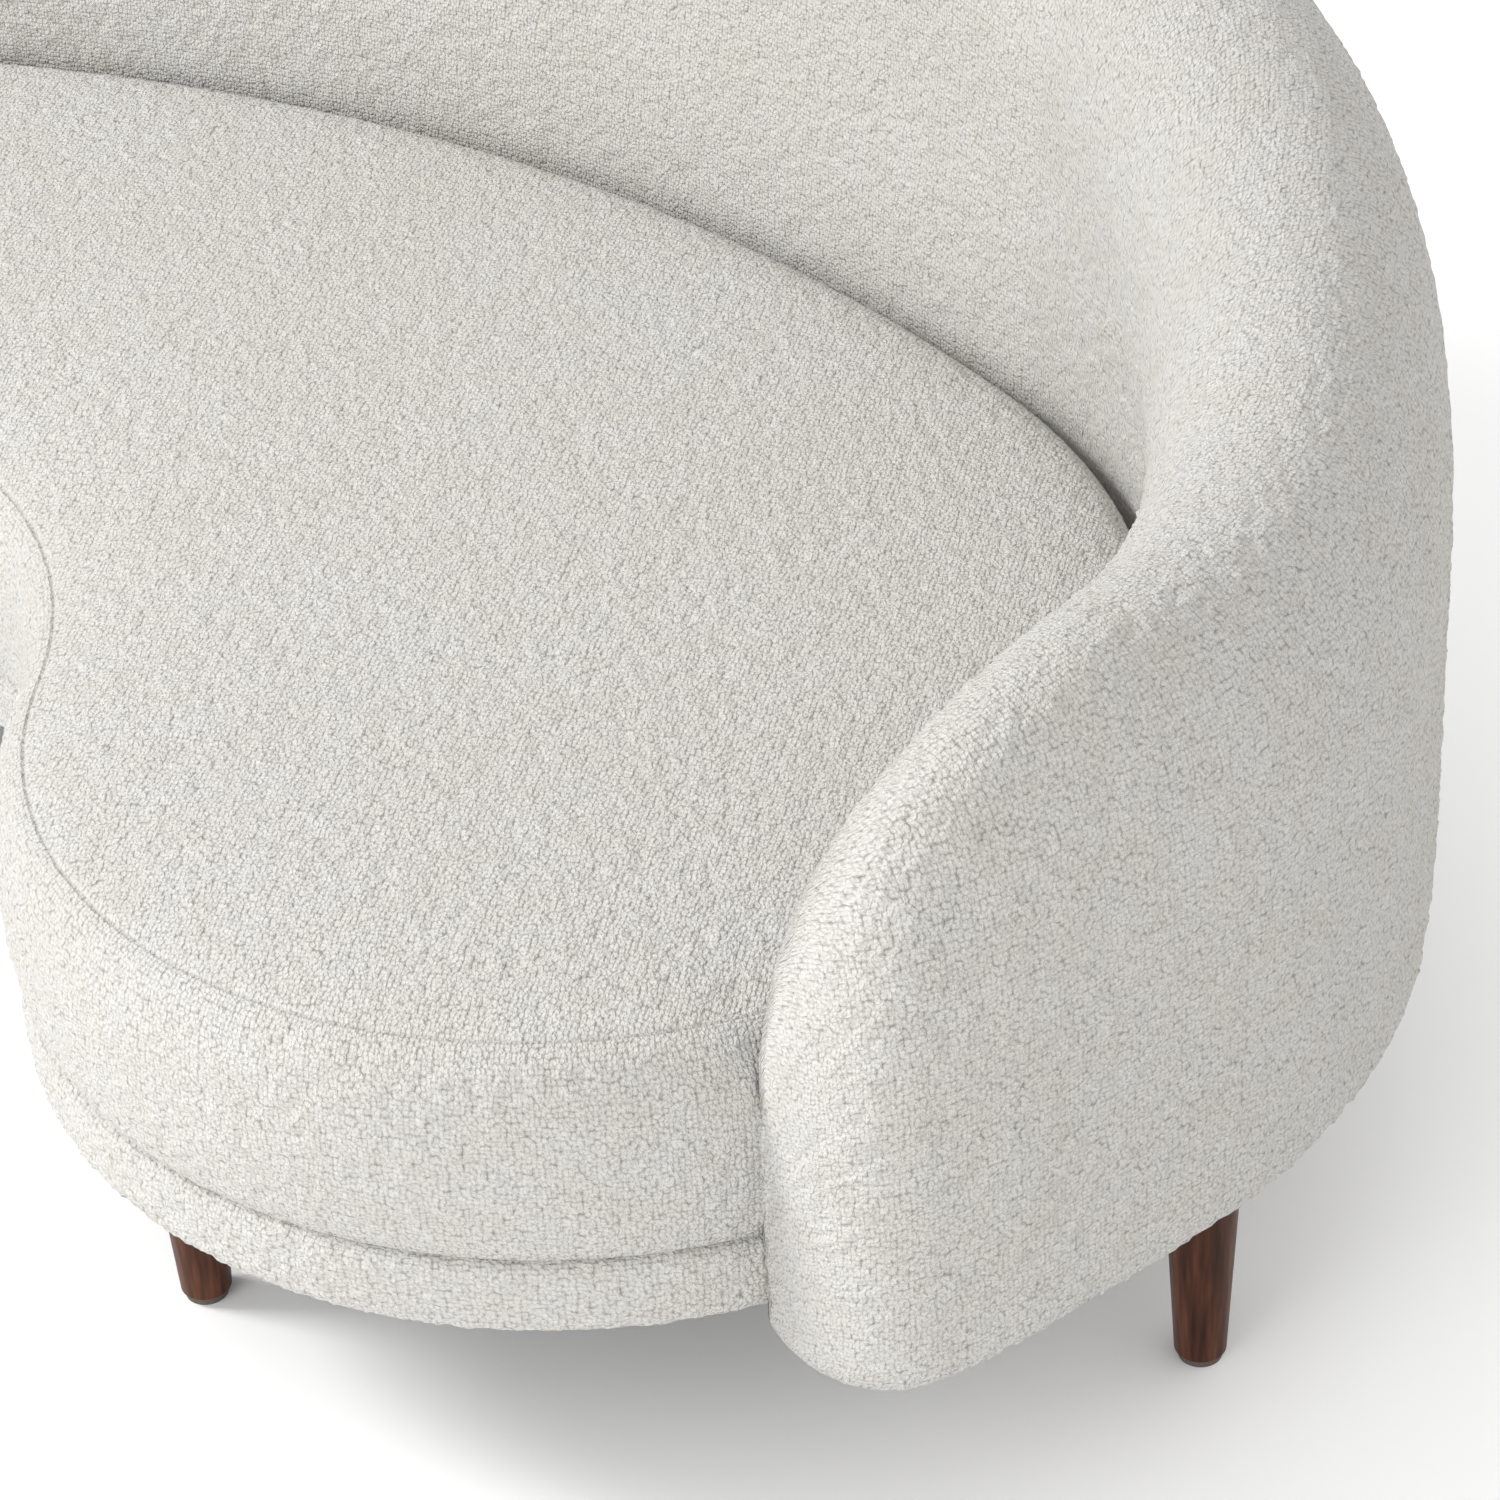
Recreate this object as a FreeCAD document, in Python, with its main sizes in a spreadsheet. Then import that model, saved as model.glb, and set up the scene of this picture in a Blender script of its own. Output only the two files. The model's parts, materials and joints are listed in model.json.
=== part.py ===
"""Curved lounge sofa with a kidney-shaped tight seat, a wrap-around back and tapered wooden legs.

Millimetres. +X is the sitter's left-hand side as seen from the front, -Y is the front, +Z is up.
The origin lies on the floor, midway across the width and midway through the depth.
"""
import FreeCAD, Part
import Sketcher
import math
import os

Vector = FreeCAD.Vector

# Driving sizes: alias, value, meaning
SIZES = [
    ("overall_width", 2416, "outside of one arm to the outside of the other"),
    ("overall_depth", 1322, "front of the seat lobes to the outside of the back"),
    ("overall_height", 730, "floor to the crest in the middle of the back"),
    ("arm_height", 574, "floor to the crest of an arm"),
    ("leg_height", 152, "floor to the underside of the upholstery"),
    ("seam_height", 350, "floor to the seat's top seam"),
    ("seat_crown", 25, "rise of the seat above its seam"),
    ("band_height", 57, "height of the upholstered rail under the seat"),
    ("seat_depth", 484, "seat depth in the middle, waist to crease"),
    ("lobe_setback", 18, "front of an arm's end to the front of the seat"),
    ("lobe_radius", 352, "front corner of the seat in plan"),
    ("corner_radius", 480, "rear corner of the seat in plan"),
    ("side_thickness", 157, "upholstered thickness at the widest point"),
    ("back_thickness", 205, "upholstered thickness of the back"),
    ("nose_thickness", 110, "upholstered thickness of an arm near its end"),
    ("crease_gap", 2, "gap between the seat and the back"),
    ("edge_round", 52, "rounding of the upholstery's lower outer edge"),
    ("cover_thickness", 12, "cover and wadding over the seat and its rail"),
    ("fit_gap", 0.5, "clearance around glued and stapled pieces"),
    ("ply_thickness", 18, "plywood of the rails and formers"),
    ("ring_width", 120, "width of the two plywood rings"),
    ("seat_ring_height", 290, "floor to the underside of the seat ring"),
    ("channel_start", 34, "back cover's inner face to the frame channel"),
    ("channel_width", 62, "width of the frame channel inside the back"),
    ("webbing_width", 60, "width of an elastic strap"),
    ("webbing_thickness", 2, "thickness of an elastic strap"),
    ("webbing_pitch", 110, "spacing of the straps"),
    ("leg_top_radius", 23.5, "leg radius at the mounting plate"),
    ("leg_foot_radius", 16, "leg radius at the foot"),
    ("glide_height", 5, "felt glide thickness"),
    ("plate_radius", 30, "leg mounting plate radius"),
    ("plate_thickness", 2.5, "leg mounting plate thickness"),
    ("bolt_radius", 4, "hanger bolt radius"),
    ("bolt_length", 44, "hanger bolt length"),
    ("screw_radius", 2, "plate screw radius"),
    ("screw_length", 16, "plate screw length"),
    ("dust_thickness", 1.2, "thickness of the cloth under the seat"),
]

ARM_ANGLE = -58.7          # normal angle at which an arm ends, degrees
LOBE_TURN = 16.2           # lobe centre lies this far below the rear corner's centre line, degrees
NOSE_LENGTH = 200.0        # path length over which an arm's crest drops
NOSE_ROUND = 50.0          # path length over which an arm narrows to its end
NOSE_STATIONS = [1.5, 5, 12, 22, 36, 54, 80, 112, 152]   # cross-sections before an arm's end
SEAM_ANGLE = 30.0          # normal angle at which the arm and back pads meet, degrees
KAPPA = 0.5523             # handle length of a quarter ellipse
FULL_SHOULDER = 0.60       # handle length of the fuller upholstered shoulders

doc = FreeCAD.newDocument("sofa")
sheet = doc.addObject("Spreadsheet::Sheet", "sizes")
for row, (alias, value, meaning) in enumerate(SIZES, start=1):
    sheet.set(f"A{row}", alias)
    sheet.set(f"B{row}", str(value))
    sheet.set(f"C{row}", meaning)
    sheet.setAlias(f"B{row}", alias)
doc.recompute()


def size(alias):
    """A driving size in millimetres."""
    return float(getattr(sheet, alias))


def blend(share):
    """Smooth step from 0 to 1."""
    share = min(max(share, 0.0), 1.0)
    return 0.5 - 0.5 * math.cos(math.pi * share)


def polar(centre, radius, degrees):
    angle = math.radians(degrees)
    return Vector(centre.x + radius * math.cos(angle), centre.y + radius * math.sin(angle), 0)


# ---------------------------------------------------------------- plan of the seat
# The seat's outline is four kinds of tangent arc: back, rear corners, front lobes, waist.
# The angle of the outline's outward normal runs from 90 degrees in the middle of the back,
# through 0 at the side, to -90 at the front of a lobe.

half_width = size("overall_width") / 2
back_face = size("overall_depth") / 2 - size("back_thickness") - size("crease_gap")
corner_x = half_width - size("side_thickness") - size("crease_gap") - size("corner_radius")
lobe_step = size("corner_radius") - size("lobe_radius")
lobe_drop = lobe_step * math.sin(math.radians(LOBE_TURN))
lobe_y = -size("overall_depth") / 2 + size("lobe_setback") + size("lobe_radius")
corner_y = lobe_y + lobe_drop
lobe_x = corner_x + lobe_step * math.cos(math.radians(LOBE_TURN))
corner_centre = Vector(corner_x, corner_y, 0)
lobe_centre = Vector(lobe_x, lobe_y, 0)

back_rise = back_face - corner_y - size("corner_radius")
back_run = (corner_x ** 2 - back_rise ** 2) / (2 * back_rise)
back_centre = Vector(0, corner_y - back_run, 0)
back_radius = back_face - back_centre.y
back_angle = math.degrees(math.atan2(back_run, corner_x))

waist_y = back_face - size("seat_depth")
waist_fall = lobe_y - waist_y
waist_radius = ((lobe_x ** 2 + waist_fall ** 2 - size("lobe_radius") ** 2)
                / (2 * (size("lobe_radius") - waist_fall)))
waist_centre = Vector(0, waist_y - waist_radius, 0)
waist_angle = math.degrees(math.atan2(lobe_y - waist_centre.y, lobe_x))


def path_arc(normal_angle):
    """Centre and radius of the right half's outline arc that has this normal angle."""
    if normal_angle > back_angle:
        return back_centre, back_radius
    if normal_angle > -LOBE_TURN:
        return corner_centre, size("corner_radius")
    return lobe_centre, size("lobe_radius")


def path_point(normal_angle, offset):
    """Point on the outline, moved out by offset, at a normal angle from -90 to 270 degrees."""
    mirrored = normal_angle > 90
    centre, radius = path_arc(180 - normal_angle if mirrored else normal_angle)
    if mirrored:
        centre = Vector(-centre.x, centre.y, 0)
    return polar(centre, radius + offset, normal_angle)


def arc_edge(centre, radius, start, end):
    """Counter-clockwise arc between two angles in degrees."""
    circle = Part.Circle(centre, Vector(0, 0, 1), radius)
    return Part.ArcOfCircle(circle, math.radians(start), math.radians(end))


def mirrored_arc(centre, radius, start, end):
    return arc_edge(Vector(-centre.x, centre.y, 0), radius, 180 - end, 180 - start)


def side_arcs(offset, end_angle):
    """The back arc and both sides' arcs, moved out by offset, down to a normal angle."""
    radius = size("corner_radius") + offset
    lobe = size("lobe_radius") + offset
    arcs = [arc_edge(back_centre, back_radius + offset, back_angle, 180 - back_angle)]
    corner_end = max(-LOBE_TURN, end_angle)
    arcs.append(arc_edge(corner_centre, radius, corner_end, back_angle))
    arcs.append(mirrored_arc(corner_centre, radius, corner_end, back_angle))
    if end_angle < -LOBE_TURN:
        arcs.append(arc_edge(lobe_centre, lobe, end_angle, -LOBE_TURN))
        arcs.append(mirrored_arc(lobe_centre, lobe, end_angle, -LOBE_TURN))
    return arcs


def outline(offset):
    """The whole closed seat outline, moved out by offset."""
    waist = arc_edge(waist_centre, waist_radius - offset, waist_angle, 180 - waist_angle)
    return side_arcs(offset, -180 + waist_angle) + [waist]


def back_arc_only(offset, end_angle):
    return [arc_edge(back_centre, back_radius + offset, end_angle, 180 - end_angle)]


def sector(inner, outer, inner_end, outer_end):
    """Closed band that follows the outline between two offsets, each with its own end angle."""
    make = side_arcs if inner_end < back_angle else back_arc_only
    right = Part.LineSegment(path_point(inner_end, inner), path_point(outer_end, outer))
    left = Part.LineSegment(path_point(180 - inner_end, inner), path_point(180 - outer_end, outer))
    return make(inner, inner_end) + make(outer, outer_end) + [right, left]


# ---------------------------------------------------------------- document helpers
nodes = []


def keep(obj, name):
    """Mark an object as one sub-part of the sofa."""
    obj.Label = name
    nodes.append(obj)
    return obj


def origin_plane(body, role):
    for feature in body.Origin.OriginFeatures:
        if feature.Role == role:
            return feature
    raise ValueError(role)


def place_sketch(body, name, curves, level):
    """Sketch of fixed curves, level millimetres (an expression) above the floor."""
    sketch = body.newObject("Sketcher::SketchObject", name)
    sketch.AttachmentSupport = [(origin_plane(body, "XY_Plane"), "")]
    sketch.MapMode = "FlatFace"
    sketch.setExpression("AttachmentOffset.Base.z", level)
    for curve in curves:
        index = sketch.addGeometry(curve, False)
        sketch.addConstraint(Sketcher.Constraint("Block", index))
    return sketch


def plate_body(name, curves, level, thickness):
    """Body padded upwards from a plan outline; level and thickness are expressions."""
    body = doc.addObject("PartDesign::Body", name + "_body")
    sketch = place_sketch(body, name + "_plan", curves, level)
    pad = body.newObject("PartDesign::Pad", name + "_pad")
    pad.Profile = sketch
    pad.setExpression("Length", thickness)
    return keep(body, name)


def drill(body, name, points, radius, level, depth):
    """Round pockets downwards from level at several plan points."""
    circles = [Part.Circle(point, Vector(0, 0, 1), radius) for point in points]
    sketch = place_sketch(body, name + "_holes", circles, level)
    pocket = body.newObject("PartDesign::Pocket", name + "_pocket")
    pocket.Profile = sketch
    pocket.setExpression("Length", depth)
    return pocket


def feature(name, shape):
    obj = doc.addObject("Part::Feature", name + "_shape")
    obj.Shape = shape
    return keep(obj, name)


def box_along(point, angle, length, width, low, high):
    """Upright block centred on a plan point, its length along a direction in degrees."""
    block = Part.makeBox(length, width, high - low, Vector(-length / 2, -width / 2, 0))
    block.rotate(Vector(0, 0, 0), Vector(0, 0, 1), angle)
    block.translate(Vector(point.x, point.y, low))
    return block


# ---------------------------------------------------------------- wrap-around back and arms
def thickness_at(angle):
    """Upholstered thickness of the back and arms at a normal angle of the right half."""
    side = size("side_thickness")
    if angle > 0:
        return side + (size("back_thickness") - side) * blend(angle / 45)
    return side + (size("nose_thickness") - side) * blend(-angle / 40)


def crest_at(angle):
    """Crest height, before an arm's end drops away."""
    arm = size("arm_height")
    return arm + (size("overall_height") - arm) * blend((angle + 20) / 100)


def section(angle, from_end):
    """Closed cross-section at a normal angle, from_end millimetres before an arm's end."""
    half_angle = 180 - angle if angle > 90 else angle
    floor = size("leg_height")
    full = thickness_at(half_angle)
    narrow = max(1 - from_end / NOSE_ROUND, 0)
    width = full * math.sqrt(1 - narrow ** 2)
    drop = max(1 - from_end / NOSE_LENGTH, 0)
    crest = floor + (crest_at(half_angle) - floor) * (1 - drop ** 2) ** 0.2
    round_out = min(size("edge_round"), 0.35 * width)
    round_in = min(8, 0.2 * width)
    rise = crest - floor
    reclined = blend((half_angle - 10) / 60)
    lean = (26 * reclined - 18 * (1 - reclined)) * (1 - drop) * (1 - narrow)
    middle = lean + 0.47 * (width - lean)
    shoulder_out = crest - min(0.42 * rise, 190)
    shoulder_in = crest - min(0.30 * rise, 115)
    waist_level = floor + min(size("seam_height") + size("seat_crown") + 3 - floor, 0.55 * rise)
    base = path_point(angle, size("crease_gap"))
    out = Vector(math.cos(math.radians(angle)), math.sin(math.radians(angle)), 0)

    def at(radial, height):
        return base + out * radial + Vector(0, 0, height)

    def bezier(*points):
        curve = Part.BezierCurve()
        curve.setPoles([at(*point) for point in points])
        return curve.toShape()

    def quarter(start, corner, end, fullness):
        """Quarter turn from start to end that leaves and arrives towards corner."""
        first = tuple(a + (c - a) * fullness for a, c in zip(start, corner))
        second = tuple(b + (c - b) * fullness for b, c in zip(end, corner))
        return bezier(start, first, second, end)

    def line(start, end):
        return Part.makeLine(at(*start), at(*end))

    bottom_in = (round_in, floor)
    bottom_out = (width - round_out, floor)
    wall_out = (width, floor + round_out)
    wall_top = (width, shoulder_out)
    peak = (middle, crest)
    lip = (lean, shoulder_in)
    foot = (0, waist_level)
    foot_low = (0, floor + round_in)
    mid_level = (shoulder_in + waist_level) / 2
    edges = [
        line(bottom_in, bottom_out),
        quarter(bottom_out, (width, floor), wall_out, KAPPA),
        line(wall_out, wall_top),
        quarter(wall_top, (width, crest), peak, FULL_SHOULDER),
        quarter(peak, (lean, crest), lip, FULL_SHOULDER),
        bezier(lip, (lean, mid_level), (0, mid_level), foot),
        line(foot, foot_low),
        quarter(foot_low, (0, floor), bottom_in, KAPPA),
    ]
    return Part.Wire(edges)


def arm_sections():
    """Cross-sections from the seam with the back to the end of the right arm."""
    degrees_per_mm = math.degrees(1 / size("lobe_radius"))
    stations = [(ARM_ANGLE + from_end * degrees_per_mm, from_end) for from_end in NOSE_STATIONS]
    start = ARM_ANGLE + NOSE_LENGTH * degrees_per_mm
    steps = 5
    for step in range(steps + 1):
        stations.append((start + (SEAM_ANGLE - start) * step / steps, NOSE_LENGTH))
    return [section(angle, from_end) for angle, from_end in stations]


def back_sections():
    """Cross-sections from the left arm's seam to the right arm's seam."""
    steps = 10
    span = 180 - 2 * SEAM_ANGLE
    return [section(SEAM_ANGLE + span * step / steps, NOSE_LENGTH) for step in range(steps + 1)]


arm_blank = Part.makeLoft(arm_sections(), True, False, False)
back_blank = Part.makeLoft(back_sections(), True, False, False)

channel_in = size("crease_gap") + size("channel_start")
channel_out = channel_in + size("channel_width")
RAIL_END = -30.0           # the rails end on a slant between these two normal angles
RAIL_OUTER_END = -21.0
TOP_RAIL_END = 48.0
rail_low = size("leg_height")
middle_rail_level = size("seam_height") + 10
top_rail_level = size("overall_height") - 100


def prism(curves, low, high):
    """Solid above a closed plan outline."""
    wire = Part.Wire(Part.__sortEdges__([curve.toShape() for curve in curves]))
    face = Part.Face(wire)
    face.translate(Vector(0, 0, low))
    return face.extrude(Vector(0, 0, high - low))


gap = size("fit_gap")
ply = size("ply_thickness")
low_channel = prism(sector(channel_in - gap, channel_out + gap, RAIL_END - 1, RAIL_OUTER_END - 1),
                    rail_low - 5, middle_rail_level + ply + gap)
high_channel = prism(sector(channel_in - gap, channel_out + gap, TOP_RAIL_END - 1,
                            TOP_RAIL_END - 1),
                     rail_low, top_rail_level + ply + gap)
channel = low_channel.fuse(high_channel)
arm_right = arm_blank.cut(channel)
arm_left = arm_right.mirror(Vector(0, 0, 0), Vector(1, 0, 0))
feature("back_upholstery", back_blank.cut(channel))
feature("arm_upholstery_right", arm_right)
feature("arm_upholstery_left", arm_left)

# ---------------------------------------------------------------- seat, its rail and its frame
cover = size("cover_thickness")
seat = plate_body("seat_upholstery", outline(0), "sizes.leg_height + sizes.band_height",
                  "sizes.seam_height + sizes.seat_crown - sizes.leg_height - sizes.band_height")
hollow = place_sketch(seat, "seat_hollow_plan", outline(-cover),
                      "sizes.leg_height + sizes.band_height")
hollow_cut = seat.newObject("PartDesign::Pocket", "seat_hollow")
hollow_cut.Profile = hollow
hollow_cut.Reversed = True
hollow_cut.setExpression("Length", "sizes.seam_height - sizes.leg_height - sizes.band_height")

plate_body("seat_foam", outline(-cover - gap),
           "sizes.seat_ring_height + sizes.ply_thickness + 2 * sizes.webbing_thickness",
           "sizes.seam_height - sizes.fit_gap - sizes.seat_ring_height - sizes.ply_thickness"
           " - 2 * sizes.webbing_thickness")
plate_body("rail_band_upholstery", outline(0) + outline(-cover), "sizes.leg_height",
           "sizes.band_height")
DUST_INSET = 32            # the cloth's edge stays this far inside the plywood ring
ring_out = -cover - gap
ring_in = ring_out - size("ring_width")
bottom_ring = plate_body("bottom_ring", outline(ring_out) + outline(ring_in), "sizes.leg_height",
                         "sizes.ply_thickness")
plate_body("seat_ring", outline(ring_out) + outline(ring_in), "sizes.seat_ring_height",
           "sizes.ply_thickness")
dust_cover = plate_body("dust_cover", outline(ring_out - DUST_INSET),
                        "sizes.leg_height - sizes.dust_thickness", "sizes.dust_thickness")

# Posts carry the seat ring on the bottom ring.
post_middle = (ring_out + ring_in) / 2
POST_ANGLES = {"post_back_right": 68, "post_side_right": 5, "post_front_right": -75}
for name, angle in POST_ANGLES.items():
    point = path_point(angle, post_middle)
    block = box_along(point, angle, 60, 90, rail_low + ply, size("seat_ring_height"))
    feature(name, block)
    feature(name.replace("right", "left"), block.mirror(Vector(0, 0, 0), Vector(1, 0, 0)))
waist_post = Vector(0, waist_y - post_middle, 0)
feature("post_waist", box_along(waist_post, 90, 60, 90, rail_low + ply, size("seat_ring_height")))

reach = size("overall_width")

# Bearers run from front to back under the straps.
BEARER_HEIGHT = 45
BEARER_WIDTH = 28
hole = prism(outline(ring_in), rail_low + ply, size("seat_ring_height") + ply)
for name, place in (("bearer_left", -0.27), ("bearer_middle", 0.0), ("bearer_right", 0.27)):
    plank = Part.makeBox(BEARER_WIDTH, 2 * reach, BEARER_HEIGHT,
                         Vector(place * size("overall_width") - BEARER_WIDTH / 2, -reach,
                                size("seat_ring_height") + ply - BEARER_HEIGHT))
    feature(name, plank.common(hole))


def straps(along_x, level):
    """Group of parallel straps clipped to the seat ring's outline."""
    stock = prism(outline(ring_out - 15), level, level + size("webbing_thickness"))
    span = size("overall_width") if not along_x else size("overall_depth")
    count = int(span / 2 / size("webbing_pitch"))
    bands = []
    for index in range(-count, count + 1):
        start = index * size("webbing_pitch") - size("webbing_width") / 2
        corner = Vector(-reach, start, level) if along_x else Vector(start, -reach, level)
        lengths = (2 * reach, size("webbing_width")) if along_x else (size("webbing_width"), 2 * reach)
        bands.append(Part.makeBox(*lengths, size("webbing_thickness"), corner))
    return stock.common(Part.makeCompound(bands))


strap_level = size("seat_ring_height") + ply
feature("webbing_front_to_back", straps(False, strap_level))
feature("webbing_side_to_side", straps(True, strap_level + size("webbing_thickness")))

# ---------------------------------------------------------------- frame inside the back and arms
long_rail = sector(channel_in, channel_out, RAIL_END, RAIL_OUTER_END)
lower_rail = plate_body("back_lower_rail", long_rail, "sizes.leg_height", "sizes.ply_thickness")
EASED_EDGE = 3.0           # keeps the plywood's lower outer corner clear of the rounded cover
blank = lower_rail.Tip
doc.recompute()
outer_edges = [f"Edge{number}" for number, edge in enumerate(blank.Shape.Edges, start=1)
               if abs(edge.BoundBox.ZMax - rail_low) < 0.01
               and edge.Curve.TypeId == "Part::GeomCircle"
               and min(abs(edge.Curve.Radius - radius - channel_out)
                       for radius in (back_radius, size("corner_radius"), size("lobe_radius"))) < 0.01]
eased = lower_rail.newObject("PartDesign::Chamfer", "lower_rail_eased")
eased.Base = (blank, outer_edges)
eased.Size = EASED_EDGE
plate_body("back_middle_rail", long_rail, "sizes.seam_height + 10", "sizes.ply_thickness")
plate_body("back_top_rail", sector(channel_in, channel_out, TOP_RAIL_END, TOP_RAIL_END),
           "sizes.overall_height - 100", "sizes.ply_thickness")

channel_middle = (channel_in + channel_out) / 2
RIB_ANGLES = [90, 69, 50, 14, -14]
rib_number = 0
for rib_angle in RIB_ANGLES:
    for mirrored in ((False, True) if rib_angle < 90 else (False,)):
        rib_number += 1
        angle = 180 - rib_angle if mirrored else rib_angle
        point = path_point(angle, channel_middle)
        rib = box_along(point, angle, size("channel_width"), ply, rail_low + ply, middle_rail_level)
        feature(f"lower_former_{rib_number}", rib)
rib_number = 0
for rib_angle in [a for a in RIB_ANGLES if a > TOP_RAIL_END]:
    for mirrored in ((False, True) if rib_angle < 90 else (False,)):
        rib_number += 1
        angle = 180 - rib_angle if mirrored else rib_angle
        point = path_point(angle, channel_middle)
        rib = box_along(point, angle, size("channel_width"), ply, middle_rail_level + ply,
                        top_rail_level)
        feature(f"upper_former_{rib_number}", rib)

# Steel plates tie the frame inside the back to the seat's bottom ring.
JOINING_ANGLES = [90, 48, 132, 8, 172]
tie_start = ring_out - DUST_INSET + 3
tie_end = channel_middle
ties = [box_along(path_point(angle, (tie_start + tie_end) / 2), angle, tie_end - tie_start, 40,
                  rail_low - size("plate_thickness"), rail_low) for angle in JOINING_ANGLES]
feature("joining_plates", Part.makeCompound(ties))

# ---------------------------------------------------------------- legs and their hardware
LEGS = {
    "front_inner": path_point(-139.0, -70),
    "front_outer": path_point(-17.4, channel_middle + 9),
    "rear": path_point(57, channel_middle),
}
leg_points = {}
for place, point in LEGS.items():
    leg_points[place + "_right"] = point
    leg_points[place + "_left"] = Vector(-point.x, point.y, 0)

plate_top = size("leg_height")
plate_low = plate_top - size("plate_thickness")
foot_level = size("glide_height")
bolt_low = plate_top + ply - 4 - size("bolt_length")
SCREW_CIRCLE = 22


def screw_points(centre):
    return [polar(centre, SCREW_CIRCLE, 45 + 90 * turn) for turn in range(4)]


bolts = []
screws = []
for place, point in leg_points.items():
    bolt = Part.makeCylinder(size("bolt_radius"), size("bolt_length"),
                             Vector(point.x, point.y, bolt_low))
    bolts.append(bolt)
    plate = Part.makeCylinder(size("plate_radius"), size("plate_thickness"),
                              Vector(point.x, point.y, plate_low)).cut(bolt)
    for spot in screw_points(point):
        screw = Part.makeCylinder(size("screw_radius"), size("screw_length"),
                                  Vector(spot.x, spot.y, plate_low))
        screws.append(screw)
        plate = plate.cut(screw)
    feature("plate_" + place, plate)
    leg = Part.makeCone(size("leg_foot_radius"), size("leg_top_radius"), plate_low - foot_level,
                        Vector(point.x, point.y, foot_level))
    foot_edge = [edge for edge in leg.Edges if abs(edge.BoundBox.ZMax - foot_level) < 0.01]
    leg = leg.makeFillet(2.0, foot_edge)
    feature("leg_" + place, leg.cut(bolt))
    glide_radius = size("leg_foot_radius") - 2.5
    glide = Part.makeCylinder(glide_radius, size("glide_height"), Vector(point.x, point.y, 0))
    feature("glide_" + place, glide)
feature("hanger_bolts", Part.makeCompound(bolts))
feature("plate_screws", Part.makeCompound(screws))

on_ring = [leg_points["front_inner_right"], leg_points["front_inner_left"]]
on_rail = [point for place, point in leg_points.items() if "inner" not in place]
for body, points in ((bottom_ring, on_ring), (lower_rail, on_rail)):
    spots = [spot for point in points for spot in screw_points(point)]
    drill(body, body.Label + "_bolt", points, size("bolt_radius"),
          "sizes.leg_height + sizes.ply_thickness", "sizes.ply_thickness")
    drill(body, body.Label + "_screw", spots, size("screw_radius"),
          "sizes.leg_height + sizes.ply_thickness", "sizes.ply_thickness")
drill(dust_cover, "dust_cover_plate", on_ring, size("plate_radius") + size("fit_gap"),
      "sizes.leg_height", "sizes.dust_thickness")

# ---------------------------------------------------------------- check and write
doc.recompute()
faults = []
for obj in doc.Objects:
    if "Invalid" in obj.State or "Error" in obj.State:
        faults.append(f"{obj.Name}: {obj.State}")
for node in nodes:
    if node.Shape.isNull() or not node.Shape.isValid() or not node.Shape.Solids:
        faults.append(f"{node.Label}: bad shape")
if faults:
    raise RuntimeError("; ".join(faults))

os.makedirs("parts", exist_ok=True)
for node in nodes:
    node.Shape.exportStep(f"parts/{node.Label}.step")
print(len(nodes), "nodes written")
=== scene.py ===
"""Curved boucle sofa with a kidney-shaped seat and tapered walnut legs, around its CAD frame."""
import bpy
import json
import math
import numpy as np
from mathutils import Matrix, Vector
from mathutils.geometry import delaunay_2d_cdt


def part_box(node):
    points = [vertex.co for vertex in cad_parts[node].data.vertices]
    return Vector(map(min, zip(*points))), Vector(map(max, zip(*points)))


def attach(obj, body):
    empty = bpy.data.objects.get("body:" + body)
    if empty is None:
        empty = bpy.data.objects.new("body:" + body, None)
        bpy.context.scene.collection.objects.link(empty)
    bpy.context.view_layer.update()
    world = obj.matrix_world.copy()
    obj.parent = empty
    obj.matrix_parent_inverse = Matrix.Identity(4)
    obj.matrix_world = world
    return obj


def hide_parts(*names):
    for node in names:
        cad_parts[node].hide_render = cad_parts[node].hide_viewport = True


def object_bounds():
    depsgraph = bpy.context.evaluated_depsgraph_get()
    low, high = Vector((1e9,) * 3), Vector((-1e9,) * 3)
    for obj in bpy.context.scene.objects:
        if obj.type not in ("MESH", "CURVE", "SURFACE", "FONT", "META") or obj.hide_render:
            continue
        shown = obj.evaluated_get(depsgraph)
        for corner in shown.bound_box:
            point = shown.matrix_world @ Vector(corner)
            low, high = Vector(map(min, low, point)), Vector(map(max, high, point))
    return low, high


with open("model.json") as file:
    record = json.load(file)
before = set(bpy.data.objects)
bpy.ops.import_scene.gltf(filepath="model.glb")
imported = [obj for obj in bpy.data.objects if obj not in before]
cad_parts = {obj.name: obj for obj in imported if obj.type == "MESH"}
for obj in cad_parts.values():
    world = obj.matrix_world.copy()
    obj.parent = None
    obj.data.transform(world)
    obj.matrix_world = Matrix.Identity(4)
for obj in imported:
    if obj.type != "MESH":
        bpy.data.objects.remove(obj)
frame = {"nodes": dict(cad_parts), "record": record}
cad_low, cad_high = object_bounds()

MM = 0.001
STEP = 0.0034      # mesh spacing on the upholstery

# ------------------------------------------------------------------ plan of the seat
LOBE_RADIUS = 0.352
CORNER_RADIUS = 0.480
LOBE_TURN = 16.2
SEAT_DEPTH = 0.484
CREASE_GAP = 0.002

seat_low, seat_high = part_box("seat_upholstery")
band_low, band_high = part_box("rail_band_upholstery")
FLOOR_GAP = band_low.z
SEAT_TOP = seat_high.z

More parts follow.
